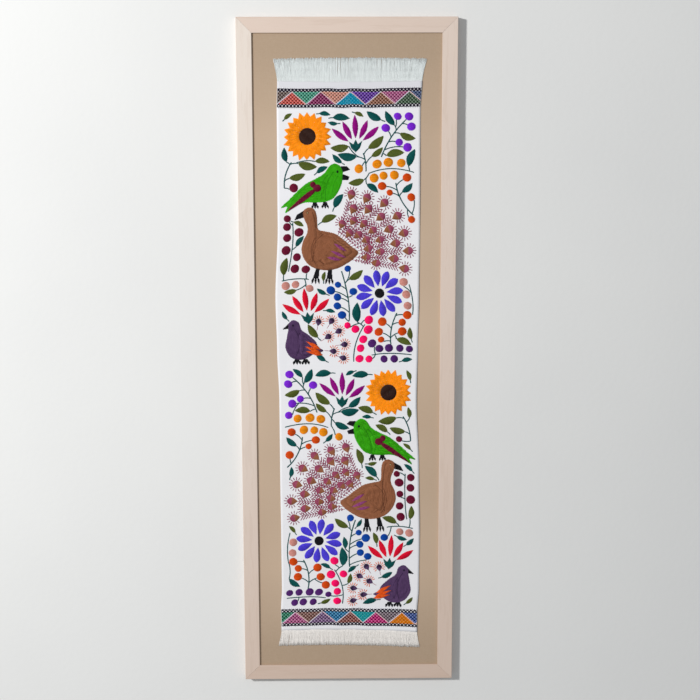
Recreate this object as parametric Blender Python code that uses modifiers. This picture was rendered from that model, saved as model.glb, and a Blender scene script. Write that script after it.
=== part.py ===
"""An embroidered cloth hanging with fringed ends, mounted on a covered board in a plain wooden frame.

It lies on its back. Origin: middle of the frame's back. X runs across, Y towards the hanging's top, and Z out of
its face. Units are metres.
"""

import math
from collections import namedtuple

import bmesh
import bpy
from mathutils import Vector

# Frame and board
FRAME_WIDTH = 0.640
FRAME_HEIGHT = 2.000
FRAME_DEPTH = 0.030
RAIL_WIDTH = 0.045
LIP_DEPTH = 0.006
GROOVE_REACH = 0.008
BOARD_THICKNESS = 0.006
EDGE_RADIUS = 0.0016
LIP_RADIUS = 0.0008
ROUND_STEPS = 3
SHARP_ANGLE = math.radians(35.0)

# Clearance between pieces that touch
GAP = 0.0003
MITRE_INSET = GAP / math.sqrt(2.0)

GROOVE_TOP = FRAME_DEPTH - LIP_DEPTH
BOARD_TOP = GROOVE_TOP - GAP
GROOVE_BOTTOM = BOARD_TOP - BOARD_THICKNESS - GAP
CLOTH_UNDERSIDE = BOARD_TOP + GAP

# Cloth, where it lies on the board
CLOTH_THICKNESS = 0.0012
CLOTH_ACROSS = 14
CLOTH_ALONG = 60

# How the loose selvedges stand off the board. Waves here and below are in radians a metre.
RIPPLE_HEIGHT = 0.0011
RIPPLE_REACH = 0.035
RIPPLE_WAVE = 19.0
RIPPLE_START = {"left": 1.3, "right": 4.1}

# The faint pucker that the stitching draws into the whole cloth
PUCKER_HEIGHT = 0.0003
PUCKER_ACROSS = 61.0
PUCKER_ALONG = 37.0
PUCKER_DRIFT = 2.0
PUCKER_DRIFT_WAVE = 9.0

# The cloth's sides, which its weft draws in and lets out
Selvedge = namedtuple("Selvedge", "height left right")
SELVEDGES = (
    Selvedge(height=-0.848, left=-0.2072, right=0.2122),
    Selvedge(height=-0.780, left=-0.2080, right=0.2118),
    Selvedge(height=-0.710, left=-0.2045, right=0.2165),
    Selvedge(height=-0.555, left=-0.2050, right=0.2178),
    Selvedge(height=-0.335, left=-0.2060, right=0.2145),
    Selvedge(height=-0.120, left=-0.2060, right=0.2064),
    Selvedge(height=0.030, left=-0.2110, right=0.2090),
    Selvedge(height=0.182, left=-0.2142, right=0.2116),
    Selvedge(height=0.404, left=-0.2052, right=0.2134),
    Selvedge(height=0.735, left=-0.2046, right=0.2130),
    Selvedge(height=0.820, left=-0.2025, right=0.2176),
)

# The last weft line at each end bows a little: it arches up in the middle, and rises at the right
ENDS = {
    "top": {"height": 0.820, "arch": -0.0020, "rise": 0.0},
    "bottom": {"height": -0.848, "arch": 0.0050, "rise": -0.0035},
}
BOW_REACH = 0.25

# Fringe, combed out from both ends of the cloth
LOCKS_PER_END = 100
LOCK_THICKNESS = 0.0009
HEADING_STRIP = 0.003
NOTCH_ROOT = 0.0005
NOTCH_TIP = 0.0009
LOCK_BEND = 0.55
LOCK_LEAN = 0.0002
LEAN_TURN = 1.7
COMB_LIFT = 0.0010
COMB_WAVE = 47.0

# How uneven the locks' lengths are: a share of the length, and the turn in radians from lock to lock
UNEVENNESS = (
    {"share": 0.035, "turn": 2.399},
    {"share": 0.030, "turn": 0.31},
)

# Each fringe: the end it leaves, which way, its length, and how far its corners spread
FRINGES = {
    "fringe_top": dict(end="top", towards=1, length=0.0620, spread_left=0.0120, spread_right=0.0140),
    "fringe_bottom": dict(end="bottom", towards=-1, length=0.0440, spread_left=0.0090, spread_right=0.0085),
}
SPREAD_TO_CORNER = 5
SPREAD_TO_TIP = 1.4

# Points closer than this are one point
WELD_DISTANCE = 0.00002

FINISHES = {
    "rail_wood": {"colour": (0.62, 0.50, 0.40), "roughness": 0.55},
    "board_covering": {"colour": (0.38, 0.30, 0.20), "roughness": 0.85},
    "cotton_cloth": {"colour": (0.82, 0.82, 0.80), "roughness": 0.90},
    "cotton_fringe": {"colour": (0.84, 0.83, 0.79), "roughness": 0.90},
}


def clear_scene():
    for thing in list(bpy.data.objects):
        bpy.data.objects.remove(thing, do_unlink=True)


def material(name):
    made = bpy.data.materials.new(name)
    made.use_nodes = True
    shader = made.node_tree.nodes["Principled BSDF"]
    shader.inputs["Base Color"].default_value = (*FINISHES[name]["colour"], 1.0)
    shader.inputs["Roughness"].default_value = FINISHES[name]["roughness"]
    shader.inputs["Metallic"].default_value = 0.0
    return made


def add(name, mesh, finish, parent, location=(0.0, 0.0, 0.0), turn=0.0):
    """Puts a mesh in the hanging's collection under its own name."""
    piece = bpy.data.objects.new(name, mesh)
    piece.location = location
    piece.rotation_euler = (0.0, 0.0, turn)
    piece.parent = parent
    parent.users_collection[0].objects.link(piece)
    mesh.name = name
    mesh.materials.clear()
    mesh.materials.append(finish)
    return piece


def smoothed(share):
    """A share from 0 to 1, eased at both ends."""
    share = min(1.0, max(0.0, share))
    return share * share * (3.0 - 2.0 * share)


def swell(angle):
    """A wave from 0 to 1."""
    return 0.5 + 0.5 * math.sin(angle)


def selvedge(side, height):
    """Where the cloth's left or right side lies at a height, on a smooth line through the table's rows."""
    first, last = SELVEDGES[0], SELVEDGES[-1]
    height = min(last.height, max(first.height, height))
    for low, high in zip(SELVEDGES, SELVEDGES[1:]):
        if height <= high.height:
            share = smoothed((height - low.height) / (high.height - low.height))
            start, stop = getattr(low, side), getattr(high, side)
            return start + (stop - start) * share
    return getattr(last, side)


def bow(end, across):
    """How far the weft at an end of the cloth lies above its own height, across running from -1 to 1."""
    return ENDS[end]["arch"] * (1.0 - across * across) + ENDS[end]["rise"] * across


def lift(x, y, left, right):
    """How far the cloth stands off the board: flat in the middle, loose at its selvedges."""
    nearer = "left" if x - left < right - x else "right"
    from_edge = min(x - left, right - x)
    ripple = smoothed(1.0 - from_edge / RIPPLE_REACH) * swell(y * RIPPLE_WAVE + RIPPLE_START[nearer])
    drift = PUCKER_DRIFT * math.sin(y * PUCKER_DRIFT_WAVE)
    pucker = 0.5 + 0.5 * math.sin(x * PUCKER_ACROSS + drift) * math.cos(y * PUCKER_ALONG)
    return ripple * RIPPLE_HEIGHT + pucker * PUCKER_HEIGHT


def flat_outline(points, thickness, name):
    """A closed flat shape as a mesh, through a filled and extruded 2D curve."""
    curve = bpy.data.curves.new(name, "CURVE")
    curve.dimensions = "2D"
    curve.fill_mode = "BOTH"
    curve.extrude = thickness / 2.0
    line = curve.splines.new("POLY")
    line.points.add(len(points) - 1)
    for point, (x, y) in zip(line.points, points):
        point.co = (x, y, 0.0, 1.0)
    line.use_cyclic_u = True
    holder = bpy.data.objects.new(name, curve)
    bpy.context.scene.collection.objects.link(holder)
    evaluated = holder.evaluated_get(bpy.context.evaluated_depsgraph_get())
    mesh = bpy.data.meshes.new_from_object(evaluated)
    bpy.data.objects.remove(holder, do_unlink=True)
    bpy.data.curves.remove(curve)
    shape = bmesh.new()
    shape.from_mesh(mesh)
    bmesh.ops.remove_doubles(shape, verts=shape.verts, dist=WELD_DISTANCE)
    bmesh.ops.recalc_face_normals(shape, faces=shape.faces)
    shape.to_mesh(mesh)
    shape.free()
    return mesh


def with_round_corners(corners):
    """The points of an outline with square turns, each (x, y, radius) corner of which may be an arc."""
    points = []
    for i, (x, y, radius) in enumerate(corners):
        corner = Vector((x, y))
        back = (Vector(corners[i - 1][:2]) - corner).normalized()
        onward = (Vector(corners[(i + 1) % len(corners)][:2]) - corner).normalized()
        steps = ROUND_STEPS if radius > 0.0 else 0
        for step in range(steps + 1):
            turn = math.pi / 2.0 * step / ROUND_STEPS
            point = corner + radius * ((1.0 - math.sin(turn)) * back + (1.0 - math.cos(turn)) * onward)
            points.append(tuple(point))
    return points


def rail_mesh(name, length):
    """A grooved rail with mitred ends: X along it, Y in from the frame's outer edge, Z towards its face."""
    groove_floor = RAIL_WIDTH - GROOVE_REACH
    section = with_round_corners((
        # in from the outer edge, up from the back, radius
        (0.0, 0.0, EDGE_RADIUS),
        (RAIL_WIDTH, 0.0, EDGE_RADIUS),
        (RAIL_WIDTH, GROOVE_BOTTOM, 0.0),
        (groove_floor, GROOVE_BOTTOM, 0.0),
        (groove_floor, GROOVE_TOP, 0.0),
        (RAIL_WIDTH, GROOVE_TOP, 0.0),
        (RAIL_WIDTH, FRAME_DEPTH, LIP_RADIUS),
        (0.0, FRAME_DEPTH, EDGE_RADIUS),
    ))
    mesh = flat_outline(section, length, name)
    for vertex in mesh.vertices:
        inward, up, along = vertex.co
        mitred = length / 2.0 - inward - MITRE_INSET
        vertex.co = (math.copysign(mitred, along), inward, up)
    mesh.shade_smooth()
    mesh.set_sharp_from_angle(angle=SHARP_ANGLE)
    return mesh


def add_frame(parent):
    wood = material("rail_wood")
    half_width = FRAME_WIDTH / 2.0
    half_height = FRAME_HEIGHT / 2.0
    quarter = math.pi / 2.0
    rails = (
        # name, length, place of the middle of its outer edge, turn
        ("rail_bottom", FRAME_WIDTH, (0.0, -half_height, 0.0), 0.0),
        ("rail_top", FRAME_WIDTH, (0.0, half_height, 0.0), 2.0 * quarter),
        ("rail_left", FRAME_HEIGHT, (-half_width, 0.0, 0.0), -quarter),
        ("rail_right", FRAME_HEIGHT, (half_width, 0.0, 0.0), quarter),
    )
    for name, length, place, turn in rails:
        add(name, rail_mesh(name, length), wood, parent, place, turn)


def add_board(parent):
    """The covered board, held on all sides in the rails' groove."""
    hidden = RAIL_WIDTH - GROOVE_REACH + GAP
    width = FRAME_WIDTH - 2.0 * hidden
    height = FRAME_HEIGHT - 2.0 * hidden
    shape = bmesh.new()
    bmesh.ops.create_cube(shape, size=1.0)
    bmesh.ops.scale(shape, vec=(width, height, BOARD_THICKNESS), verts=shape.verts)
    mesh = bpy.data.meshes.new("mounting_board")
    shape.to_mesh(mesh)
    shape.free()
    middle = (0.0, 0.0, BOARD_TOP - BOARD_THICKNESS / 2.0)
    add("mounting_board", mesh, material("board_covering"), parent, middle)


def add_cloth(parent):
    """The cloth: an open surface on its wavy outline, thickened upwards."""
    shape = bmesh.new()
    bmesh.ops.create_grid(shape, x_segments=CLOTH_ACROSS, y_segments=CLOTH_ALONG, size=1.0)
    low = ENDS["bottom"]["height"]
    high = ENDS["top"]["height"]
    for vertex in shape.verts:
        across, along = vertex.co.x, vertex.co.y
        y = low + (high - low) * (along + 1.0) / 2.0
        left = selvedge("left", y)
        right = selvedge("right", y)
        x = left + (right - left) * (across + 1.0) / 2.0
        near_bottom = smoothed(1.0 - (y - low) / BOW_REACH)
        near_top = smoothed(1.0 - (high - y) / BOW_REACH)
        bowed = near_bottom * bow("bottom", across) + near_top * bow("top", across)
        vertex.co = (x, y + bowed, CLOTH_UNDERSIDE + lift(x, y, left, right))
    mesh = bpy.data.meshes.new("cloth")
    shape.to_mesh(mesh)
    shape.free()
    mesh.shade_smooth()
    piece = add("cloth", mesh, material("cotton_cloth"), parent)
    thickness = piece.modifiers.new("thickness", "SOLIDIFY")
    thickness.thickness = CLOTH_THICKNESS
    thickness.offset = 1.0


def comb_outline(end, towards, length, spread_left, spread_right):
    """A fringe from above: a strip along the cloth's end, with uneven locks that fan out at both corners."""
    root = ENDS[end]["height"]
    left = selvedge("left", root)
    right = selvedge("right", root)
    pitch = (right - left) / LOCKS_PER_END
    middle = (left + right) / 2.0
    half = (right - left) / 2.0

    def fanned(x, share):
        """Where a yarn that leaves the cloth at x lies, at a share of its length."""
        across = (x - middle) / half
        spread = spread_right if across > 0.0 else spread_left
        return x + math.copysign(spread * abs(across) ** SPREAD_TO_CORNER, across) * share ** SPREAD_TO_TIP

    def edge(x):
        """The height of the cloth's end at x."""
        return root + towards * GAP + bow(end, (x - middle) / half)

    points = []
    for lock in range(LOCKS_PER_END):
        start = left + pitch * lock
        stop = start + pitch
        reach = length * (1.0 + sum(row["share"] * math.sin(lock * row["turn"]) for row in UNEVENNESS))
        bend = HEADING_STRIP + (reach - HEADING_STRIP) * LOCK_BEND
        lean = LOCK_LEAN * math.sin(lock * LEAN_TURN)
        side = (
            # share of the length, half the notch beside the lock, distance out from the cloth
            (0.0, NOTCH_ROOT / 2.0, HEADING_STRIP),
            (LOCK_BEND, (NOTCH_ROOT + NOTCH_TIP) / 4.0, bend),
            (1.0, NOTCH_TIP / 2.0, reach),
        )
        for share, inset, out in side:
            points.append((fanned(start, share) + inset + lean * share, edge(start) + towards * out))
        for share, inset, out in reversed(side):
            points.append((fanned(stop, share) - inset + lean * share, edge(stop) + towards * out))
    points[0] = (left, points[0][1])
    points[-1] = (right, points[-1][1])
    for step in range(CLOTH_ACROSS, -1, -1):
        x = left + (right - left) * step / CLOTH_ACROSS
        points.append((x, edge(x)))
    return points


def add_fringe(name, finish, parent):
    sizes = FRINGES[name]
    root = ENDS[sizes["end"]]["height"]
    mesh = flat_outline(comb_outline(**sizes), LOCK_THICKNESS, name)
    for vertex in mesh.vertices:
        out = abs(vertex.co.y - root) / sizes["length"]
        wave = swell(vertex.co.x * COMB_WAVE)
        vertex.co.z += CLOTH_UNDERSIDE + LOCK_THICKNESS / 2.0 + COMB_LIFT * wave * smoothed(out)
    add(name, mesh, finish, parent)


def build():
    clear_scene()
    group = bpy.data.collections.new("framed_hanging")
    bpy.context.scene.collection.children.link(group)
    hanging = bpy.data.objects.new("framed_hanging_origin", None)
    group.objects.link(hanging)
    add_frame(hanging)
    add_board(hanging)
    add_cloth(hanging)
    yarn = material("cotton_fringe")
    for name in FRINGES:
        add_fringe(name, yarn, hanging)


build()
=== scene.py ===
"""The looks of an embroidered cloth hanging in a wooden frame, laid on its back.

The frame and the board keep their solids and get finishes here. The cloth, its two woven bands, its fringes and the
embroidery are modelled here at the places that the solids give. Units are metres.
"""

import math

import bmesh
import bpy
import numpy as np
from mathutils import Matrix, Vector


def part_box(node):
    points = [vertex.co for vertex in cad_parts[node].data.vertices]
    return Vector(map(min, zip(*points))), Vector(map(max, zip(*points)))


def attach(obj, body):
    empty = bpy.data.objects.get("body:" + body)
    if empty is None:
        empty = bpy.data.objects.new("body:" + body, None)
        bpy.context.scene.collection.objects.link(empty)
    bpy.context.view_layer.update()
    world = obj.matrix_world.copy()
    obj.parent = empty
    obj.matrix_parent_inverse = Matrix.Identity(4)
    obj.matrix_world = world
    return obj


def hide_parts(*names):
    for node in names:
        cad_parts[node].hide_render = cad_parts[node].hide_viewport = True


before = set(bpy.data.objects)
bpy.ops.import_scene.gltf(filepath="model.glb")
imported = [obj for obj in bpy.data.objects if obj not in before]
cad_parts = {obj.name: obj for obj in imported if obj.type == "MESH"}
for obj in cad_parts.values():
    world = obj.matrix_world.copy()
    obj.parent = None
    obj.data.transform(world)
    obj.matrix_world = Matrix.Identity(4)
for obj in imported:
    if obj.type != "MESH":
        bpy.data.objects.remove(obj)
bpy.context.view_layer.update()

# The cloth's level, sides and ends, as its solid has them
CLOTH_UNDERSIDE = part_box("mounting_board")[1][2] + 0.0003
CLOTH_THICKNESS = 0.0012
SELVEDGES = (
    # height, left, right
    (-0.848, -0.2072, 0.2122), (-0.780, -0.2080, 0.2118), (-0.710, -0.2045, 0.2165), (-0.555, -0.2050, 0.2178),
    (-0.335, -0.2060, 0.2145), (-0.120, -0.2060, 0.2064), (0.030, -0.2110, 0.2090), (0.182, -0.2142, 0.2116),
    (0.404, -0.2052, 0.2134), (0.735, -0.2046, 0.2130), (0.820, -0.2025, 0.2176),
)
CLOTH_LOW, CLOTH_HIGH = SELVEDGES[0][0], SELVEDGES[-1][0]

# How far the weft bows and slants at each end, and how far from the end that starts
BOWS = {"top": (-0.0020, 0.0), "bottom": (0.0050, -0.0035)}
BOW_REACH = 0.25

# How the cloth stands off the board, as its solid does
RIPPLE_HEIGHT, RIPPLE_REACH, RIPPLE_WAVE, RIPPLE_START = 0.0011, 0.035, 19.0, (1.3, 4.1)
PUCKER_HEIGHT, PUCKER_ACROSS, PUCKER_ALONG = 0.0003, 61.0, 37.0
PUCKER_DRIFT, PUCKER_DRIFT_WAVE = 2.0, 9.0

# The cloth's threads, and where the painted shade on the heading above the top band starts
WARP_PITCH, WEFT_PITCH = 0.0011, 0.0013
SHADED_HEADING = 0.7985


def linear(colour):
    """An sRGB colour out of 255 as linear light."""
    share = np.asarray(colour, float) / 255.0
    return np.where(share <= 0.04045, share / 12.92, ((share + 0.055) / 1.055) ** 2.4)


def palette(**colours):
    """Colours by name, given as sRGB out of 255, as linear light."""
    return {name: linear(colour) for name, colour in colours.items()}


# The second wood colour is a painted highlight for the left rail; the others are the wood's own.
WOOD = palette(pale=(230, 214, 203), bleached=(234, 227, 219), warm=(216, 194, 180), vein=(176, 148, 124),
               lime=(236, 226, 214), knot=(150, 116, 90), tan=(196, 166, 146))
# The board's last colour, for its ends, is painted shade.
BOARD = palette(light=(206, 182, 158), deep=(182, 157, 133), thread=(204, 184, 163), ends=(169, 146, 122))
COTTON = palette(light=(246, 246, 249), deep=(234, 234, 239), shade=(208, 209, 216))
FLOOR = palette(light=(236, 237, 236), deep=(226, 227, 227))


def smoothed(share):
    share = np.clip(share, 0.0, 1.0)
    return share * share * (3.0 - 2.0 * share)


def selvedges(y):
    """The cloth's left and right sides at heights, on the smooth line that the solid follows."""
    rows = np.array(SELVEDGES)
    y = np.clip(y, CLOTH_LOW, CLOTH_HIGH)
    above = np.searchsorted(rows[:, 0], y).clip(1, len(rows) - 1)
    low, run = rows[above - 1], rows[above] - rows[above - 1]
    share = smoothed((y - low[..., 0]) / run[..., 0])
    return low[..., 1] + run[..., 1] * share, low[..., 2] + run[..., 2] * share


def bowed(y, across):
    """How far the weft lies above its own height, across running from -1 to 1."""
    rise = 0.0
    for end, inwards in (("bottom", y - CLOTH_LOW), ("top", CLOTH_HIGH - y)):
        bow, slant = BOWS[end]
        rise = rise + smoothed(1.0 - inwards / BOW_REACH) * (bow * (1.0 - across * across) + slant * across)
    return rise


def across_cloth(across, y):
    """Points at shares of the cloth's width, from -1 to 1, on the wefts at heights."""
    left, right = selvedges(y)
    return np.stack(((left + right + across * (right - left)) / 2.0, y + bowed(y, across)), -1)


def lift(x, y):
    """How far the cloth stands off the board: flat in the middle, loose at its selvedges."""
    left, right = selvedges(y)
    from_edge = np.minimum(x - left, right - x)
    start = np.where(x - left < right - x, *RIPPLE_START)
    ripple = smoothed(1.0 - from_edge / RIPPLE_REACH) * (0.5 + 0.5 * np.sin(y * RIPPLE_WAVE + start))
    drift = PUCKER_DRIFT * np.sin(y * PUCKER_DRIFT_WAVE)
    pucker = 0.5 + 0.5 * np.sin(x * PUCKER_ACROSS + drift) * np.cos(y * PUCKER_ALONG)
    return ripple * RIPPLE_HEIGHT + pucker * PUCKER_HEIGHT


# Shader maths


class Value:
    """A node socket that takes Python's operators. On values they add Math nodes, on vectors Vector Math."""

    def __init__(self, shade, socket):
        self.shade = shade
        self.socket = socket

    def combined(self, operation, a, b):
        vector = any(isinstance(x, Value) and x.socket.type in {"VECTOR", "RGBA"} for x in (a, b))
        return self.shade.math(operation, a, b, "VectorMath" if vector else "Math")

    def __add__(self, other):
        return self.combined("ADD", self, other)

    def __sub__(self, other):
        return self.combined("SUBTRACT", self, other)

    def __rsub__(self, other):
        return self.combined("SUBTRACT", other, self)

    def __mul__(self, other):
        return self.combined("MULTIPLY", self, other)

    __radd__ = __add__
    __rmul__ = __mul__

    def __gt__(self, other):
        return self.shade.math("GREATER_THAN", self, other)

    def __lt__(self, other):
        return self.shade.math("LESS_THAN", self, other)


class Shade:
    """The nodes of one material."""

    def __init__(self, name):
        self.material = bpy.data.materials.new(name)
        self.material.use_nodes = True
        self.tree = self.material.node_tree
        self.shader = self.tree.nodes["Principled BSDF"]

    def node(self, kind, settings=(), inputs=(), output=0):
        """Adds a node, makes its settings, sets or links its sockets, and returns one of its outputs."""
        made = self.tree.nodes.new("ShaderNode" + kind)
        for name, value in dict(settings).items():
            setattr(made, name, value)
        for name, value in dict(inputs).items():
            self.put(made.inputs[name], value)
        return Value(self, made.outputs[output])

    def put(self, socket, value):
        if isinstance(value, Value):
            self.tree.links.new(value.socket, socket)
        elif socket.type == "RGBA":
            socket.default_value = (*value, 1.0)
        elif socket.type == "VECTOR" and not hasattr(value, "__len__"):
            socket.default_value = (value, value, value)
        else:
            socket.default_value = value

    def math(self, operation, a, b=0.0, kind="Math"):
        return self.node(kind, {"operation": operation}, {0: a, 1: b})

    def mix(self, share, a, b):
        """A colour between two colours."""
        return self.node("Mix", {"data_type": "RGBA"}, {"Factor": share, 6: a, 7: b}, 2)

    def place(self):
        """The place in the model, in metres, and its x, y and z."""
        at = self.node("TexCoord", output="Object")
        parts = self.node("SeparateXYZ", (), {"Vector": at}).socket.node.outputs
        return at, *(Value(self, part) for part in parts)

    def noise(self, at, scale, detail=3.0, stretch=(1.0, 1.0, 1.0)):
        return self.node("TexNoise", (), {"Vector": at * stretch, "Scale": scale, "Detail": detail})

    def rise(self, value, start, stop):
        """A share that goes from 0 to 1 as a value goes from start to stop."""
        return self.node("MapRange", (), {"Value": value, "From Min": start, "From Max": stop})

    def wave(self, value, period, phase=0.0):
        """A wave from 0 to 1 along a value in metres."""
        return self.math("SINE", value * (2.0 * math.pi / period) + phase) * 0.5 + 0.5

    def finish(self, colour, roughness, height, depth, gloss, sheen=0.0):
        """Wires the shader. Height is the relief, and depth is what 1 of it stands for, in metres."""
        bump = self.node("Bump", (), {"Height": height, "Distance": depth, "Strength": 1.0}, "Normal")
        sockets = {"Base Color": colour, "Roughness": roughness, "Normal": bump,
                   "Specular IOR Level": gloss, "Sheen Weight": sheen}
        for name, value in sockets.items():
            self.put(self.shader.inputs[name], value)
        return self.material


# Finishes


def limed_wood(name, along):
    """Pale limed softwood, its grain running along x or y. It is browner towards the foot, and paler on the left,
    where a highlight is painted, strongest at the top.
    """
    shade = Shade(name)
    at, x, y, _ = shade.place()
    stretch = (0.06, 1.0, 1.0) if along == "x" else (1.0, 0.06, 1.0)
    cloudy = shade.noise(at, 9.0, 2.0)
    grain = shade.noise(at + cloudy * 0.02, 95.0, 5.0, stretch)
    fine = shade.noise(at, 420.0, 3.0, stretch)
    figure = shade.noise(at, 21.0, 2.0, stretch)
    knots = shade.node("TexVoronoi", (), {"Vector": at * stretch, "Scale": 6.72}, "Distance")
    lower = shade.rise(y, 0.9, -1.05) * 0.6
    pale = shade.mix(lower + (0.28 if along == "x" else 0.0), WOOD["pale"], WOOD["tan"])
    # Painted highlight: the left rail is mixed towards a paler colour, most at its top and less towards its foot.
    if along == "y":
        pale = shade.mix((x < 0.0) * (0.6 - lower) * 1.8, pale, WOOD["bleached"])
    figured = shade.mix(figure * 0.8, pale, WOOD["warm"])
    veined = shade.mix((grain > 0.56) * 0.10, figured, WOOD["vein"])
    streaked = shade.mix(fine * 0.22, veined, WOOD["lime"])
    knotted = shade.mix(shade.rise(knots, 0.10, 0.03) * 0.30, streaked, WOOD["knot"])
    return shade.finish(knotted, 0.52 + grain * 0.16, grain * 0.6 + fine * 0.4, 0.00025, 0.35)


def board_covering():
    """A tan covering with a fine, uneven weave, and painted shade towards its top and bottom ends."""
    shade = Shade("board_covering")
    at, _, y, _ = shade.place()
    cloudy = shade.noise(at, 2.2, 2.0, (1.0, 0.7, 1.0))
    across, along = (shade.noise(at, 700.0, 2.0, way) * 0.5 for way in ((0.12, 1.0, 1.0), (1.0, 0.12, 1.0)))
    middle = shade.mix((cloudy - 0.3) * 2.4, BOARD["light"], BOARD["deep"])
    # Painted shade: the board is darkened towards its top and bottom ends.
    base = shade.mix(shade.rise(shade.math("ABSOLUTE", y), 0.66, 0.90), middle, BOARD["ends"])
    slub = across + along
    return shade.finish(shade.mix(slub * 0.5, base, BOARD["thread"]), 0.88, slub, 0.00012, 0.2)


def cotton_cloth():
    """White handwoven cotton: warp and weft in plain weave, thicker and thinner picks, and faint streaks, with painted
    shade between the threads and on the heading above the top band.
    """
    shade = Shade("cotton_cloth")
    at, x, y, _ = shade.place()
    over, under = (shade.wave(x, 2.0 * WARP_PITCH, turn) * shade.wave(y, 2.0 * WEFT_PITCH, turn)
                   for turn in (0.0, math.pi))
    checks = over + under
    threads = shade.wave(x, WARP_PITCH) * 0.35 + shade.wave(y, WEFT_PITCH) * 0.35
    streaks = shade.noise(at, 160.0, 3.0, (0.035, 1.0, 1.0))
    soft = shade.noise(at, 14.0, 3.0)
    tone = shade.mix(streaks * 0.35 + soft * 0.35, COTTON["light"], COTTON["deep"])
    # Painted shade: a little between the threads, and strongly on the heading above the top band.
    woven = shade.mix((1.0 - checks) * 0.12 + (y > SHADED_HEADING) * 0.5, tone, COTTON["shade"])
    return shade.finish(woven, 0.92, threads + checks * 0.5 + streaks * 0.8, 0.00022, 0.15, sheen=0.15)


def coloured_yarn(name, roughness, gloss, twist_depth):
    """Yarn in the colours that its points carry, with the turns of its twist and painted shade in the grooves between
    its plies.
    """
    shade = Shade(name)
    tint = shade.node("Attribute", {"attribute_name": "tint"}, output="Color")
    turns = shade.node("Attribute", {"attribute_name": "twist"}, output="Fac")
    ply = shade.math("SINE", turns) * 0.5 + 0.5
    # Painted shade: the colour is darkened towards black in the grooves of the twist.
    return shade.finish(shade.mix((1.0 - ply) * 0.14, tint, (0.0, 0.0, 0.0)), roughness, ply, twist_depth, gloss)


# Threads and stitches

THREADS = palette(
    crimson=(222, 10, 50), magenta=(150, 4, 132), teal=(4, 84, 82), olive=(86, 98, 38), stem=(20, 84, 84),
    purple=(130, 40, 212), orange=(236, 146, 14), rust=(212, 76, 10), maroon=(112, 16, 50), royal_blue=(6, 72, 166),
    salmon=(208, 146, 136), hot_pink=(252, 12, 108), plum=(84, 36, 112), violet=(80, 66, 214),
    sunflower=(255, 154, 16), umber=(54, 32, 26), black=(20, 20, 26), green=(58, 172, 12), leaf_green=(34, 128, 10),
    brown=(152, 98, 68), dark_brown=(102, 60, 40), mauve=(152, 72, 128), rose=(160, 76, 104), wine=(138, 34, 78),
    aubergine=(88, 62, 102), dark_aubergine=(54, 36, 70), flame=(230, 92, 26), sand=(208, 190, 140),
)
STITCH_WIDTH, STITCH_OVERLAP = 0.00130, 1.22
LONGEST_STITCH, SHORTEST_STITCH, SPLIT_OVERLAP = 0.027, 0.0008, 0.0012
END_JITTER, SIDE_JITTER = 0.00028, 0.00008
STEM_WIDTH, THICK_STEM_WIDTH = 0.0030, 0.0035
LAYER = 0.0004


def on_circle(radius, angle):
    return np.stack((radius * np.cos(angle), radius * np.sin(angle)), -1)


class Spot:
    """Where a motif is sewn. It sizes, turns, mirrors and moves points, and the spot around it then does the same."""

    def __init__(self, at=(0.0, 0.0), angle=0.0, flip=1, size=1.0, within=None):
        cos, sin = size * math.cos(angle), size * math.sin(angle)
        self.turn = np.array(((cos * flip, sin), (-sin * flip, cos)))
        self.at = np.asarray(at, float)
        self.size = size
        if within:
            self.turn, self.at, self.size = self.turn @ within.turn, within(at), size * within.size

    def __call__(self, points):
        return np.asarray(points, float) @ self.turn + self.at

    def inner(self, at, angle=0.0, size=1.0):
        return Spot(at, angle, 1, size, self)


PANEL = Spot()


def spindle(length, width, fullest=0.5, roundness=1.0, bend=0.0, steps=12):
    """A leaf-like outline along X from its base: fullest is where it is widest, and under 1 its ends are round."""
    share = np.linspace(0.0, 1.0, steps + 1)
    half = width / 2.0 * np.sin(np.pi * share ** (math.log(0.5) / math.log(fullest))).clip(0.0) ** roundness
    middle = bend * length * np.sin(np.pi * share)
    upper, lower = (np.stack((share * length, middle + side * half), 1) for side in (1, -1))
    return np.concatenate((upper, lower[-2:0:-1]))


def disc(radius, squash=1.0, steps=18):
    return on_circle(radius, np.linspace(0.0, 2.0 * np.pi, steps, endpoint=False)) * (1.0, squash)


def arc(start, stop, bend, steps=12):
    """A curved line between two points, which swings out to its left by a share of its length."""
    start, run = np.asarray(start, float), np.subtract(stop, start)
    share = np.linspace(0.0, 1.0, steps + 1)[:, None]
    return start + run * share + np.array((-run[1], run[0])) * bend * 4.0 * share * (1.0 - share)


def heading_of(line):
    """The way that a line goes at its end."""
    run = line[-1] - line[-2]
    return math.atan2(run[1], run[0])


def smooth_loop(points, steps=5):
    """A closed outline that runs smoothly through its points."""
    before, here, after, beyond = (np.roll(points, shift, 0)[:, None, :] for shift in (1, 0, -1, -2))
    share = (np.arange(steps) / steps)[None, :, None]
    line = (2.0 * here + (after - before) * share
            + (2.0 * before - 5.0 * here + 4.0 * after - beyond) * share ** 2
            + (3.0 * here - before - 3.0 * after + beyond) * share ** 3) / 2.0
    return line.reshape(-1, 2)


def ribbon(points, width):
    """The outline of a line that has a width."""
    points = np.asarray(points, float)
    way = np.gradient(points, axis=0)
    side = np.stack((-way[:, 1], way[:, 0]), 1) / np.linalg.norm(way, axis=1, keepdims=True).clip(1e-9)
    return np.concatenate((points + side * width / 2.0, (points - side * width / 2.0)[::-1]))


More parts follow.
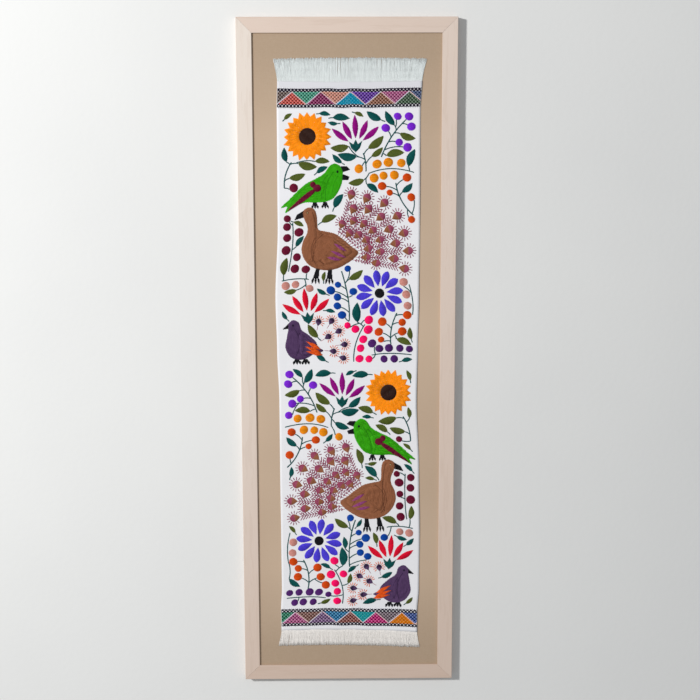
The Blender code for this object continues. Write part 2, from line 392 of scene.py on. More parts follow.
class Ground:
    """The cloth's free room, as a fine grid of taken cells. What lies off the panel counts as taken."""

    CELL = 0.001

    def __init__(self, half_width, half_height):
        self.corner = np.array((-half_width, -half_height))
        self.taken = np.zeros(np.rint(-2.0 * self.corner / self.CELL).astype(int), bool)

    def covered(self, outline):
        """The cells inside an outline, and whether the outline stays on the panel."""
        a = (np.asarray(outline) - self.corner) / self.CELL
        b = np.roll(a, -1, 0)
        low, high = np.floor(a.min(0)).astype(int), np.ceil(a.max(0)).astype(int)
        inside = (low >= 0).all() and (high < self.taken.shape).all()
        low, high = low.clip(0), np.minimum(high, np.array(self.taken.shape) - 1)
        xs, ys = (np.arange(*ends) for ends in zip(low, high + 1))
        cells = np.stack([grid.ravel() for grid in np.meshgrid(xs, ys, indexing="ij")])
        x, y = cells[:, :, None] + 0.5
        spans = (a[:, 1] > y) != (b[:, 1] > y)
        rise = np.where(a[:, 1] == b[:, 1], 1.0, b[:, 1] - a[:, 1])
        right = x < a[:, 0] + (b[:, 0] - a[:, 0]) * (y - a[:, 1]) / rise
        within = (spans & right).sum(1) % 2 == 1
        return tuple(cells[:, within]), inside

    def take(self, outline):
        cells, _ = self.covered(outline)
        self.taken[cells] = True

    def is_free(self, outline, margin=0.0):
        """Whether an outline, grown by a margin, touches nothing that is sewn."""
        away = outline - outline.mean(0)
        grown = outline + away / np.linalg.norm(away, axis=1, keepdims=True).clip(1e-6) * margin
        if not self.are_free(grown):
            return False
        cells, inside = self.covered(grown)
        return inside and not self.taken[cells].any()

    def are_free(self, points):
        """Whether each row of points lies on the panel, on cells where nothing is sewn."""
        cells = np.floor((points - self.corner) / self.CELL).astype(int)
        inside = ((cells >= 0) & (cells < self.taken.shape)).all((-2, -1))
        cells = cells.clip(0, np.array(self.taken.shape) - 1)
        return inside & ~self.taken[cells[..., 0], cells[..., 1]].any(-1)

    def openings(self, draw, tries, reach, spread, most):
        """Random roots, and headings within a spread about upwards, that have free cloth ahead for a reach."""
        roots = draw.uniform(self.corner, -self.corner, (tries, 2))
        headings = np.radians(90.0 + draw.uniform(-spread, spread, tries))
        ahead = roots[:, None, :] + on_circle(1.0, headings)[:, None, :] * (np.linspace(0.0, 1.0, 8) * reach)[:, None]
        free = self.are_free(ahead)
        return list(zip(roots[free], headings[free]))[:most]

    def free_run(self, points, margin):
        """How many of a line's points come before it meets something sewn."""
        for number, point in enumerate(points):
            if number > 1 and not self.is_free(disc(margin, steps=8) + point):
                return number - 1
        return len(points)


class Needlework:
    """The stitches of one kind of motif: the start, stop, colour, width and height of each."""

    def __init__(self, ground):
        self.ground = ground
        self.stitches = []

    def starts(self):
        return np.array([stitch[0] for stitch in self.stitches])

    def stitch(self, spot, start, stop, colour, width, height):
        self.stitches.append((*spot((start, stop)), colour, width, height))

    def fill(self, spot, outline, angle, colour, level=0):
        """Satin stitch over a closed outline, in rows at an angle. A long row is several stitches, staggered."""
        if level == 0:
            self.ground.take(spot(outline))
        rows = Spot(angle=math.radians(angle))
        a = np.asarray(outline, float) @ rows.turn.T
        b = np.roll(a, -1, 0)
        low, high = a[:, 1].min(), a[:, 1].max()
        count = max(1, round((high - low) * spot.size / STITCH_WIDTH))
        for row in range(count):
            y = low + (high - low) * (row + 0.5) / count
            crossed = (a[:, 1] > y) != (b[:, 1] > y)
            near, far = a[crossed], b[crossed]
            xs = np.sort(near[:, 0] + (far[:, 0] - near[:, 0]) * (y - near[:, 1]) / (far[:, 1] - near[:, 1]))
            for left, right in zip(xs[::2], xs[1::2]):
                length = (right - left) * spot.size
                if length < SHORTEST_STITCH:
                    continue
                pieces = math.ceil(length / LONGEST_STITCH)
                cuts = np.linspace(left, right, pieces + 1)
                cuts[1:-1] += 0.6 * ((row * 0.382) % 1.0 - 0.5) * (right - left) / pieces
                for start, stop in zip(cuts, cuts[1:]):
                    start, stop = max(left, start - SPLIT_OVERLAP), min(right, stop + SPLIT_OVERLAP)
                    height = 0.00045 + 0.035 * min((stop - start) * spot.size, 0.014) + LAYER * level
                    ends = rows(((start, y), (stop, y)))
                    self.stitch(spot, *ends, colour, STITCH_WIDTH * STITCH_OVERLAP, height)

    def line(self, spot, points, colour, width=STEM_WIDTH, length=0.006, level=0):
        """Stem stitch along a line: short stitches that overlap like the strands of a rope."""
        points = spot(points)
        if level == 0:
            self.ground.take(ribbon(points, width))
        runs = np.linalg.norm(np.diff(points, axis=0), axis=1)
        along = np.concatenate(((0.0,), np.cumsum(runs)))
        at = np.linspace(0.0, along[-1], max(1, round(along[-1] / length)) + 1)
        laid = np.stack([np.interp(at, along, column) for column in points.T], 1)
        for start, stop in zip(laid, laid[1:]):
            reach = (stop - start) * 0.16
            side = np.array((-reach[1], reach[0])) * 0.35
            self.stitch(PANEL, start - reach + side, stop + reach - side, colour, width, 0.0007 + LAYER * level)


# Motifs. Each takes the work that it is sewn in and the place that it is set to.

LEAF_LENGTH, LEAF_WIDTH, LEAF_STITCH = 0.057, 0.43, 62.0
LEAF_COLOURS = ("teal", "olive")
BERRY_RADIUS = 0.0132
MARGIN = 0.0015
SPRIG_TRIES = [(s, r, a) for s in (1.0, 0.86, 0.74) for r in (1.0, 0.82, 0.66, 0.5, 0.36) for a in (34, 44, 26, 56)]
SPRIG_APART, SHORTEST_SPRIG = 0.0165, 0.012
BRANCH_ROOM, LONGEST_RUNNER = 0.0026, 0.064


def leaf_outline(length, bend=0.06):
    return spindle(length, LEAF_WIDTH * length, 0.46, 0.80, bend)


def sew_leaf(work, at, angle, length, colour, bend=0.06):
    work["leaves"].fill(Spot(at, angle), leaf_outline(length, bend), LEAF_STITCH, colour)


def sew_berry(work, at, radius, colour):
    squash = 0.94 + 0.06 * math.sin(at[1] * 900.0)
    work["berries"].fill(Spot(at, 0.3 * math.sin(at[0] * 700.0)), disc(radius, squash), 0.0, colour)


def sew_sprig(work, start, way, side, kind, reach, berry, size, radius):
    """A thin stem with a leaf, l or o, or a berry, b, at its end, in the first place that is free for it."""
    ground = work["stems"].ground
    for scale, length, spread in SPRIG_TRIES:
        angle = way + side * math.radians(spread)
        end = start + on_circle(reach * length, angle)
        ahead = np.outer((0.1, 0.5, 0.9), on_circle(2.0 * radius if kind == "b" else size, angle)) * scale
        if not ground.are_free(end + ahead):
            continue
        line = arc(start, end, -0.07 * side)
        heading = heading_of(line)
        centre = end + on_circle(radius * scale, heading)
        leaf = Spot(end, heading)(leaf_outline(size * scale, 0.07 * side))
        outline = disc(radius * scale) + centre if kind == "b" else leaf
        if not (ground.is_free(outline, MARGIN) and ground.is_free(ribbon(line[4:], STEM_WIDTH), 0.0006)):
            continue
        work["stems"].line(PANEL, line, "stem")
        if kind == "b":
            sew_berry(work, centre, radius * scale, berry)
        else:
            sew_leaf(work, end, heading, size * scale, LEAF_COLOURS["lo".index(kind)], 0.07 * side)
        return 1
    return 0


def sew_spray(work, root, angle, reach, bend, sprigs, berry, size=LEAF_LENGTH, fewest=2):
    """A branch: a main stem with sprigs on both sides, whose ends repeat the kinds in sprigs.

    A branch that has room for fewer sprigs than the fewest is left out.
    """
    ground = work["stems"].ground
    main = arc(root, root + on_circle(reach, math.radians(angle)), bend, 24)
    room = ground.free_run(main, BRANCH_ROOM)
    if room < 10:
        return
    before = {kind: len(work[kind].stitches) for kind in work}
    taken = ground.taken.copy()
    main = main[:room]
    last = room - 1
    work["stems"].line(PANEL, main, "stem", THICK_STEM_WIDTH)
    count = max(2, round(reach * room / 25 / SPRIG_APART))
    top = main[-1] - main[-3]
    ends = (berry, size, BERRY_RADIUS)
    sewn = sew_sprig(work, main[-1], math.atan2(top[1], top[0]), 0, sprigs[0], 0.006, *ends)
    for number in range(count):
        step = round(last * (0.92 - 0.84 * number / count))
        way = heading_of((main[step - 1], main[min(last, step + 1)]))
        for side in (1, -1):
            kind = sprigs[(2 * number + (side > 0) + 1) % len(sprigs)]
            length = SHORTEST_SPRIG + reach * (0.52 - 0.40 * step / last)
            sewn += sew_sprig(work, main[step], way, side, kind, length, *ends)
    if sewn < fewest:
        for kind, count in before.items():
            del work[kind].stitches[count:]
        ground.taken = taken


def sew_loose_sprays(work, draw):
    """Small leafy branches wherever there is room for most of their leaves."""
    ground = work["stems"].ground
    for reach, size, fewest in ((0.070, 0.052, 5), (0.052, 0.048, 4), (0.036, 0.044, 3)):
        for root, heading in ground.openings(draw, 3000, reach * 1.25, 75.0, 120):
            axis = root + np.outer((0.2, 0.7, 1.2), on_circle(reach, heading))
            if all(ground.is_free(disc(0.007, steps=8) + point) for point in axis):
                sew_spray(work, root, math.degrees(heading), reach, 0.06, "lolo", "plum", size, fewest)


def nearest_stem(stems, root, heading):
    """The nearest place on a sewn stem that lies behind a leaf's root, or nothing."""
    away = stems - root
    far = np.linalg.norm(away, axis=1)
    behind = away @ -on_circle(1.0, heading) > 0.55 * far
    far = np.where(behind & (far > SHORTEST_SPRIG) & (far < LONGEST_RUNNER), far, np.inf)
    return stems[far.argmin()] if np.isfinite(far.min()) else None


def sew_runners(work, draw, sizes, kind="leaf"):
    """Leaves or berries in the room that is left, each on a thin stem that runs from a branch near it.

    A berry takes the colour of the nearest one that is sewn.
    """
    ground = work["stems"].ground
    for size in sizes:
        stems, berries = work["stems"].starts(), work["berries"].starts()
        for number, (root, heading) in enumerate(ground.openings(draw, 6000, size + MARGIN, 130.0, 600)):
            centre = root + on_circle(size / 2.0, heading)
            outline = disc(size / 2.0) + centre if kind == "berry" else Spot(root, heading)(leaf_outline(size))
            start = nearest_stem(stems, root, heading)
            if start is None or not ground.is_free(outline, MARGIN):
                continue
            line = arc(start, root, 0.07 * (1 if number % 2 else -1))
            if not ground.is_free(ribbon(line[3:-1], STEM_WIDTH), 0.0004):
                continue
            work["stems"].line(PANEL, line, "stem")
            if kind == "berry":
                nearest = np.linalg.norm(berries - centre, axis=1).argmin()
                sew_berry(work, centre, size / 2.0, work["berries"].stitches[nearest][2])
            else:
                sew_leaf(work, root, heading, size, LEAF_COLOURS[number % 2])


def sew_loose_leaves(work, draw):
    """Leaves on short stems of their own, wherever there is still room for one."""
    ground = work["stems"].ground
    for size in (0.050, 0.044, 0.038, 0.033, 0.029):
        for number, (root, heading) in enumerate(ground.openings(draw, 6000, size * 1.24 + MARGIN, 120.0, 600)):
            stem = arc(root, root + on_circle(0.24 * size, heading), 0.06)
            turned = heading_of(stem)
            leaf = Spot(stem[-1], turned)(leaf_outline(size))
            if ground.is_free(leaf, 0.0020) and ground.is_free(ribbon(stem, STEM_WIDTH), 0.0014):
                work["stems"].line(PANEL, stem, "stem")
                sew_leaf(work, stem[-1], turned, size, LEAF_COLOURS[number % 2])


def sew_berry_string(work, start, stop, bend, count, colour, radius, apart):
    """A curved stem with berries along both of its sides."""
    line = arc(start, stop, bend, 30)
    work["stems"].line(PANEL, line, "stem")
    for number in range(count):
        step = min(29, round(30 * (number + 0.5) / count))
        way = line[step + 1] - line[step]
        side = (1 if number % 2 else -1) * apart / np.linalg.norm(way)
        centre = line[step] + side * np.array((-way[1], way[0]))
        grown = radius * (1.0 + 0.08 * math.sin(number * 2.4))
        if work["stems"].ground.is_free(disc(grown) + centre, 0.0012):
            sew_berry(work, centre, grown, colour)


def sew_lily(work, base, angle, colour, reach=0.070, rays=5, fan=104.0):
    """A spiky bloom: a fan of narrow rays over a three-pointed calyx."""
    here = Spot(base, math.radians(angle))
    for ray in range(rays):
        share = ray / (rays - 1) - 0.5
        way = math.radians(fan) * share
        length = reach * (1.0 - 0.20 * abs(share) - 0.10 * (ray % 2))
        petal = here.inner(on_circle(0.030, way * 0.8), way)
        work["blossoms"].fill(petal, spindle(length, 0.0176, 0.50, 0.9, 0.05 * share), 66.0, colour)
    half = ((-10, 0), (2, 13), (23, 20), (14, 7), (28, 0))
    calyx = half + tuple((x, -y) for x, y in half[3:0:-1])
    work["leaves"].fill(here, millimetres(calyx), 90.0, "teal")


def sew_daisy(work, at, radius, petals=12):
    here = Spot(at)
    for petal in range(petals):
        way = 2.0 * math.pi * (petal + 0.3) / petals
        outline = spindle(radius * 0.71, radius * 0.325, 0.62, 0.66, 0.02 * math.sin(petal * 1.7))
        work["blossoms"].fill(here.inner(on_circle(radius * 0.29, way), way), outline, 74.0, "violet")
    work["blossoms"].fill(here, disc(radius * 0.205), 22.918, "black")


def sew_sunflower(work, at, radius, petals=20):
    """Pointed petals side by side around a dark heart, stitched outwards."""
    here = Spot(at)
    inner, valley, half = radius * 0.34, radius * 0.81, math.pi / petals
    for petal in range(petals):
        reach = radius * (1.0 + 0.03 * math.sin(petal * 2.4))
        corners = np.array((inner, valley, reach, valley, inner)), half * 1.04 * np.array((-1, -1, 0, 1, 1))
        work["blossoms"].fill(here.inner((0.0, 0.0), 2.0 * half * petal), on_circle(*corners), 0.0, "sunflower")
    work["blossoms"].fill(here, disc(inner * 1.03), 51.566, "umber", 1)


def millimetres(points):
    return np.asarray(points, float) * 0.001


# The birds look to the left. Lengths are in millimetres at the bird's own size, and angles in degrees.
# leg: how far it drops, thickness; feet: x, y, lean; beak: stitches' angle, outline; seams, dark lines of painted
# shade between the layers of plumage: colour, level, and start, stop, bend of each; marks: colour, level, and rows;
# eye: x, y, radius, colour of its ring, of its heart
FOWL = {
    "size": 1.0, "colour": "brown", "leg": (30, 10), "feet": ((-22, -50, -6), (14, -50, -2)),
    "beak": ((28.648, ((-69, 121), (-69, 101), (-98, 94), (-90, 110))),),
    "plumage": (
        # stitches' angle, level, outline
        (-24, 0, ((-73, 112), (-68, 124), (-52, 130), (-37, 122), (-31, 102), (-30, 80), (-26, 64), (-6, 60),
                  (22, 54), (48, 38), (72, 18), (94, 0), (82, -18), (60, -34), (34, -48), (6, -54), (-22, -52),
                  (-48, -40), (-66, -18), (-74, 8), (-70, 34), (-60, 56), (-60, 76), (-68, 94))),
        (84, 1, ((-66, 110), (-54, 118), (-42, 108), (-42, 80), (-38, 50), (-36, 20), (-40, -10), (-50, -28),
                 (-62, -6), (-62, 30), (-53, 56), (-55, 84))),
        (-14, 1, ((-6, 38), (20, 40), (48, 24), (76, 4), (58, -14), (30, -28), (4, -34), (-14, -22), (-10, 8))),
        (64, 2, ((-30, 36), (-12, 48), (12, 44), (22, 26), (10, 4), (-10, -18), (-28, -30), (-36, -10), (-36, 14))),
    ),
    "shade_seams": ("dark_brown", 3, (((-44, 116), (-40, -30), 0.06), ((-36, 40), (-30, -36), -0.16),
                                ((-12, 52), (-6, -36), -0.36), ((20, 30), (58, -14), 0.10))),
    "marks": ("mauve", 3, (
        # x, y, turn, stitches' angle, outline
        (20, 26, -30, 8, spindle(46, 8.8)), (12, 4, -22, 8, spindle(52, 8.8)), (2, -16, -8, 8, spindle(44, 8.8)))),
    "eye": (-59, 114, 3.4, "dark_brown", "sand"),
}
PARROT = {
    "size": 1.0, "colour": "green", "leg": (10, 10), "feet": ((-20, -45, 0), (10, -46.5, 0)),
    "beak": ((17.189, ((-67, 62), (-72, 44), (-96, 52), (-86, 62))),
             (-17.189, ((-72, 40), (-70, 22), (-90, 22), (-94, 32)))),
    "plumage": (
        (-38, 0, ((-74, 46), (-66, 62), (-50, 69), (-34, 60), (-20, 40), (4, 24), (32, 10), (58, -10), (84, -34),
                  (110, -58), (92, -56), (98, -74), (68, -56), (40, -46), (12, -46), (-16, -44), (-42, -34),
                  (-60, -12), (-72, 16))),
        (-70, 1, ((-66, 30), (-48, 36), (-36, 12), (-26, -14), (-22, -36), (-40, -30), (-56, -10), (-66, 12))),
        (-28, 1, ((-22, 14), (6, 14), (38, -2), (70, -28), (92, -50), (54, -38), (20, -36), (-6, -28), (-20, -10))),
    ),
    "shade_seams": ("leaf_green", 2, (((-46, 44), (-22, -38), 0.10), ((-30, 36), (-12, -34), 0.14),
                                ((-60, 34), (-44, -22), 0.10), ((12, 12), (80, -42), 0.06))),
    "marks": ("maroon", 3, ((2, -4, 0, 34.377, disc(12.5, 0.9)), (14, 6, 0, 11.459, disc(9.0)),
                            (6, -8, -35, 5.730, spindle(108, 14.5, 0.3, 0.8)))),
    "eye": (-58, 46, 3.6, "black", "black"),
}
QUAIL = {
    "size": 1.36, "colour": "aubergine", "leg": (5, 8.5), "feet": ((-10, -39.5, 0), (9, -40.5, 0)),
    "beak": ((17.189, ((-27, 43), (-29, 30), (-42, 29))),),
    "plumage": (
        (-50, 0, ((-28, 42), (-18, 49), (-6, 42), (0, 26), (16, 14), (34, -6), (26, -28), (2, -40), (-22, -34),
                  (-35, -12), (-32, 12), (-29, 30))),
        (85, 1, ((-24, 22), (-14, 24), (-10, 2), (-12, -28), (-24, -20), (-30, 0))),
        (-28, 2, ((-4, 18), (12, 8), (32, -10), (48, -20), (26, -27), (2, -30), (-6, -8))),
    ),
    "shade_seams": ("dark_aubergine", 3, (((-16, 30), (-12, -32), 0.16), ((-6, 20), (0, -30), 0.16))),
    "marks": ("flame", 4, ((8, 2, -30, 6, spindle(40, 8.4, 0.6)), (6, -10, -22, 6, spindle(40, 8.4, 0.6)),
                           (8, -21, -12, 6, spindle(40, 8.4, 0.6)))),
    "eye": (-19, 37, 2.4, "dark_aubergine", "black"),
}
QUAIL_DROPS = (  # x, y, angle
    (50, 6, 34), (72, 20, 28), (60, -20, -2), (84, -6, 8), (82, -32, -16), (60, 38, 60), (35, 34, 80),
)

# A drop's colours: the near part, the far part, and the short stitches round it
FOWL_DROP, QUAIL_DROP = ("brown", "rose", "wine"), ("aubergine", "dark_aubergine", "flame")
DROP_RAY, BARB_WIDTH, BARB_HEIGHT = 0.0092, 0.0022, 0.0010
SHADE_SEAM_WIDTH, SHAFT_WIDTH, STALK_WIDTH = 0.0013, 0.0014, 0.0012


def sew_bird(work, bird, at, flip):
    """A bird: its feet, beak and layers of plumage, dark seam lines of painted shade between them, marks on its wing,
    and its eye.
    """
    here = Spot(at, 0.0, flip, bird["size"])
    birds = work["birds"]
    drop, thick = millimetres(bird["leg"])
    for foot in bird["feet"]:
        x, y, lean = millimetres(foot)
        sew_foot(birds, here.inner((x, y)), drop, thick, lean)
    for angle, outline in bird["beak"]:
        birds.fill(here, millimetres(outline), angle, "black")
    for angle, level, outline in bird["plumage"]:
        birds.fill(here, smooth_loop(millimetres(outline)), angle, bird["colour"], level)
    # The seams are dark stitch lines that paint the shade between the layers of plumage.
    colour, level, shade_seams = bird["shade_seams"]
    for start, stop, bend in shade_seams:
        birds.line(here, arc(millimetres(start), millimetres(stop), bend), colour, SHADE_SEAM_WIDTH, level=level)
    colour, level, marks = bird["marks"]
    for x, y, turn, angle, outline in marks:
        birds.fill(here.inner(millimetres((x, y)), math.radians(turn)), millimetres(outline), angle, colour, level)
    x, y, radius, ring, heart = bird["eye"]
    eye = here.inner(millimetres((x, y)))
    birds.fill(eye, millimetres(disc(radius, steps=12)), 0.0, ring, 3)
    birds.fill(eye, millimetres(disc(radius * 0.55, steps=10)), 0.0, heart, 4)
    return here


def sew_foot(birds, here, drop, thick, lean, toes=3):
    """A leg and its foot: a bar that widens downwards and ends in pointed toes."""
    wide = thick * 0.85
    leg = ((-thick / 2, 0.002), (thick / 2, 0.002), (lean + wide, -drop), (lean - wide, -drop))
    birds.fill(here, leg, 90.0, "black")
    for toe in range(toes):
        turn = toe - (toes - 1) / 2
        spot = here.inner((lean + thick * turn * 0.66, -drop + 0.0022), math.radians(-90.0 + 14.0 * turn))
        birds.fill(spot, spindle(drop * 0.45 + 0.006, thick * 0.72, 0.35), 90.0, "black")


def sew_drop(tails, spot, length, colours):
    """A two-coloured drop with short stitches standing out all round it. X runs from its base to its tip."""
    near, far, barb = colours
    outline = spindle(length, length * 0.74, 0.60, 0.80)
    tails.fill(spot, outline[outline[:, 0] <= 0.60 * length], 80.0, near, 1)
    tails.fill(spot, outline[outline[:, 0] >= 0.50 * length], 100.0, far, 1)
    middle, radius = np.array((length * 0.58, 0.0)), length * 0.40
    tails.ground.take(spot(disc(radius + DROP_RAY - 0.0004) + middle))
    for way in np.radians(np.linspace(-125.0, 125.0, 11)):
        ray = (middle + on_circle(reach, way) for reach in (radius, radius + DROP_RAY))
        tails.stitch(spot, *ray, barb, 0.0021, BARB_HEIGHT)


# The fowl's tail. Its feathers spread from a heart inside the body, and its drops lie on arcs about a root at its end.
TAIL_ROOT, TAIL_HEART = np.array((0.074, 0.004)), np.array((0.010, -0.010))
TAIL_RAYS = np.radians(np.linspace(-10.0, 71.0, 13))
TAIL_REACH, TAIL_DROP, FEATHER_WIDTH = 0.176, 0.034, 0.032
BARBS_APART, SHORTEST_BARB, LONGEST_BARB = 0.0078, 0.0034, 0.0138
TAIL_ROWS = (
    # share of the tail's reach, rays, whether each drop ends a feather of its own
    (1.00, range(0, 13, 2), True),
    (0.79, range(1, 13, 2), True),
    (0.58, range(0, 13, 2), False),
    (0.38, range(1, 10, 2), False),
)


def tail_tip(angle, share):
    """How far from the heart a ray meets the arc that its drop lies on."""
    away = TAIL_HEART - TAIL_ROOT
    along = away @ on_circle(1.0, angle)
    return math.sqrt(along * along - away @ away + (TAIL_REACH * share) ** 2) - along


def leaves_body(ground, bird, angle):
    """How far from the heart a ray leaves the body that is sewn."""
    steps = np.arange(0.030, 0.120, 0.001)
    inside = ~ground.are_free(bird(TAIL_HEART + np.outer(steps, on_circle(1.0, angle)))[:, None, :])
    return steps[np.flatnonzero(inside)[-1]] + 0.001 if inside.any() else steps[0]


def sew_barbs(tails, spot, shaft, start, inner_tip):
    """Barbs in pairs along a shaft, which slant outwards and get longer where the rays lie further apart."""
    apart = TAIL_RAYS[1] - TAIL_RAYS[0]
    count = int(shaft / BARBS_APART)
    for number in range(1, count):
        x = shaft * number / count
        reach = min(LONGEST_BARB, 0.60 * apart * (2.0 if start + x > inner_tip + 0.006 else 1.0) * (start + x))
        if reach >= SHORTEST_BARB:
            for side in (-1, 1):
                stop = (x + reach * 0.74, side * reach * 0.84)
                tails.stitch(spot, (x, side * 0.0004), stop, "wine", BARB_WIDTH, BARB_HEIGHT)


def sew_tail(work, bird):
    """A fan of feathers that leave the body's end side by side, their drops in staggered rows."""
    tails = work["tails"]
    starts = [leaves_body(tails.ground, bird, angle) for angle in TAIL_RAYS]
    for share, rays, feathered in TAIL_ROWS:
        for ray in rays:
            angle, start = TAIL_RAYS[ray], starts[ray]
            spot = bird.inner(TAIL_HEART + on_circle(start, angle), angle)
            length = tail_tip(angle, share * (1.0 + 0.025 * math.sin(ray * 2.1 + share * 9.0))) - start
            if feathered:
                shaft = length - TAIL_DROP * 0.9
                tails.ground.take(spot(ribbon(((0.0, 0.0), (shaft * 0.5, 0.0), (length + 0.008, 0.0)), FEATHER_WIDTH)))
                tails.line(spot, ((0.0, 0.0), (shaft, 0.0)), "rose", SHAFT_WIDTH)
                sew_barbs(tails, spot, shaft, start, tail_tip(angle, TAIL_ROWS[1][0]))
                sew_drop(tails, spot.inner((shaft, 0.0)), TAIL_DROP, FOWL_DROP)
            else:
                sew_drop(tails, spot.inner((length - TAIL_DROP, 0.0)), TAIL_DROP * 0.9, FOWL_DROP)


def sew_quail_tail(work, bird):
    """Loose drops on short stalks behind the quail."""
    tails = work["tails"]
    for x, y, angle in QUAIL_DROPS:
        spot = bird.inner(millimetres((x, y)), math.radians(angle), 1.0 / QUAIL["size"])
        tails.ground.take(spot(disc(0.016) + (0.014, 0.0)))
        tails.line(spot, ((-0.012, 0.0), (0.002, 0.0)), "rose", STALK_WIDTH)
        sew_drop(tails, spot, 0.024, QUAIL_DROP)


# The layout of one panel, in metres from its middle. The lower panel is sewn from the same one, mirrored.

SPRAYS = (
    # root x, y, heading, reach, bend, sprigs, berry colour
    (0.096, 0.236, 58, 0.124, 0.06, "bblooblobl", "purple"),
    (0.052, 0.196, 100, 0.054, -0.05, "lolo", "purple"),
    (-0.188, 0.150, 74, 0.076, 0.08, "lolo", "purple"),
    (0.010, 0.196, 158, 0.074, 0.05, "olol", "purple"),
    (0.188, 0.070, 118, 0.104, 0.10, "bbobbl", "rust"),
    (0.004, -0.244, 98, 0.150, -0.05, "boblbo", "royal_blue"),
    (0.130, -0.318, 82, 0.096, 0.08, "bbbbbb", "rust"),
    (-0.062, -0.246, 74, 0.084, 0.08, "lolo", "purple"),
    (0.026, -0.100, 70, 0.040, 0.05, "ol", "purple"),
)
BERRY_STRINGS = (
    # start x, y, stop x, y, bend, count, colour, radius, apart
    (0.062, 0.190, 0.192, 0.194, 0.08, 8, "orange", 0.0136, 0.0184),
    (-0.172, -0.096, -0.167, 0.046, -0.03, 8, "maroon", 0.0130, 0.0172),
    (-0.190, -0.124, -0.112, -0.122, 0.05, 5, "salmon", 0.0126, 0.0168),
    (0.020, -0.366, 0.050, -0.256, 0.08, 7, "hot_pink", 0.0128, 0.0174),
    (0.074, -0.349, 0.192, -0.346, 0.03, 8, "plum", 0.0120, 0.0164),
    (0.190, -0.226, 0.181, -0.136, -0.05, 5, "salmon", 0.0116, 0.0156),
)


def sew_panel(seed):
    """All the stitches of one panel, by the kind of motif that they belong to."""
    ground = Ground(0.199, 0.374)
    work = {kind: Needlework(ground) for kind in ("stems", "leaves", "berries", "tails", "birds", "blossoms")}
    sew_sunflower(work, (-0.122, 0.296), 0.071)
    sew_lily(work, (0.020, 0.262), 92, "magenta")
    sew_lily(work, (-0.116, -0.246), 96, "crimson")
    sew_daisy(work, (0.094, -0.164), 0.070)
    sew_bird(work, PARROT, (-0.090, 0.150), -1)
    sew_tail(work, sew_bird(work, FOWL, (-0.064, -0.040), 1))
    sew_quail_tail(work, sew_bird(work, QUAIL, (-0.136, -0.308), 1))
    for x, y, to_x, to_y, *rest in BERRY_STRINGS:
        sew_berry_string(work, (x, y), (to_x, to_y), *rest)
    for x, y, *rest in SPRAYS:
        sew_spray(work, np.array((x, y)), *rest)
    draw = np.random.default_rng(seed)
    sew_loose_sprays(work, draw)
    sew_runners(work, draw, (0.060, 0.060, 0.054, 0.054, 0.048))
    sew_runners(work, draw, (0.026, 0.024), "berry")
    sew_runners(work, draw, (0.048, 0.043, 0.043, 0.038, 0.034))
    sew_runners(work, draw, (0.022, 0.020), "berry")
    sew_loose_leaves(work, draw)
    return work


# The panels on the cloth: name, height of the middle, mirrored or not, seed

PANELS = (("upper", 0.3645, 1, 11), ("lower", -0.395, -1, 23))
PANEL_CLOTH = 0.2095
PANEL_DRIFT = 0.0015


def on_cloth(points, middle, mirror, turn):
    """Panel points on the cloth, which draws in and lets out along its sides."""
    x, y = points[..., 0] * mirror, points[..., 1] + middle
    x, y = x + PANEL_DRIFT * np.sin(y * 23.0 + turn), y + PANEL_DRIFT * np.sin(x * 31.0 + turn)
    return across_cloth(x / PANEL_CLOTH, y)


def add_object(name, data):
    made = bpy.data.objects.new(name, data)
    bpy.context.scene.collection.objects.link(made)
    return made


def add_piece(name, mesh, finish):
    piece = add_object(name, mesh)
    mesh.materials.append(finish)
    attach(piece, "root")
    return piece


def grid_mesh(name, across, along, half):
    """A flat sheet of squares about the origin."""
    shape = bmesh.new()
    bmesh.ops.create_grid(shape, x_segments=across, y_segments=along, size=half)
    mesh = bpy.data.meshes.new(name)
    shape.to_mesh(mesh)
    shape.free()
    return mesh


def add_strands(name, rings, tints, turns, finish):
    """Closed threads as one piece. Rings are thread by ring by point, and each ring runs over from left to right."""
    count, stations, sides, _ = rings.shape
    first = (np.arange(count) * stations * sides)[:, None, None]
    ring = (np.arange(stations - 1) * sides)[None, :, None]
    side = np.arange(sides)
    after = (side + 1) % sides
    walls = np.stack([first + ring + corner for corner in (side, after, after + sides, side + sides)], -1)
    caps = np.concatenate((first[:, 0] + side[::-1], first[:, 0] + (stations - 1) * sides + side))
    sizes = np.repeat((4, sides), (walls.size // 4, 2 * count))
    mesh = bpy.data.meshes.new(name)
    mesh.vertices.add(count * stations * sides)
    mesh.vertices.foreach_set("co", rings.astype(np.float32).ravel())
    mesh.loops.add(walls.size + caps.size)
    mesh.loops.foreach_set("vertex_index", np.concatenate((walls.ravel(), caps.ravel())).astype(np.int32))
    mesh.polygons.add(len(sizes))
    mesh.polygons.foreach_set("loop_start", (np.cumsum(sizes) - sizes).astype(np.int32))
    mesh.update(calc_edges=True)
    mesh.polygons.foreach_set("use_smooth", np.arange(len(sizes)) < walls.size // 4)
    colours = np.ones((count, stations * sides, 4), np.float32)
    colours[..., :3] = tints[:, None, :]
    mesh.attributes.new("tint", "FLOAT_COLOR", "POINT").data.foreach_set("color", colours.ravel())
    mesh.attributes.new("twist", "FLOAT", "POINT").data.foreach_set("value", turns.astype(np.float32).ravel())
    lay_out(mesh, count, stations, sides)
    return add_piece(name, mesh, finish)


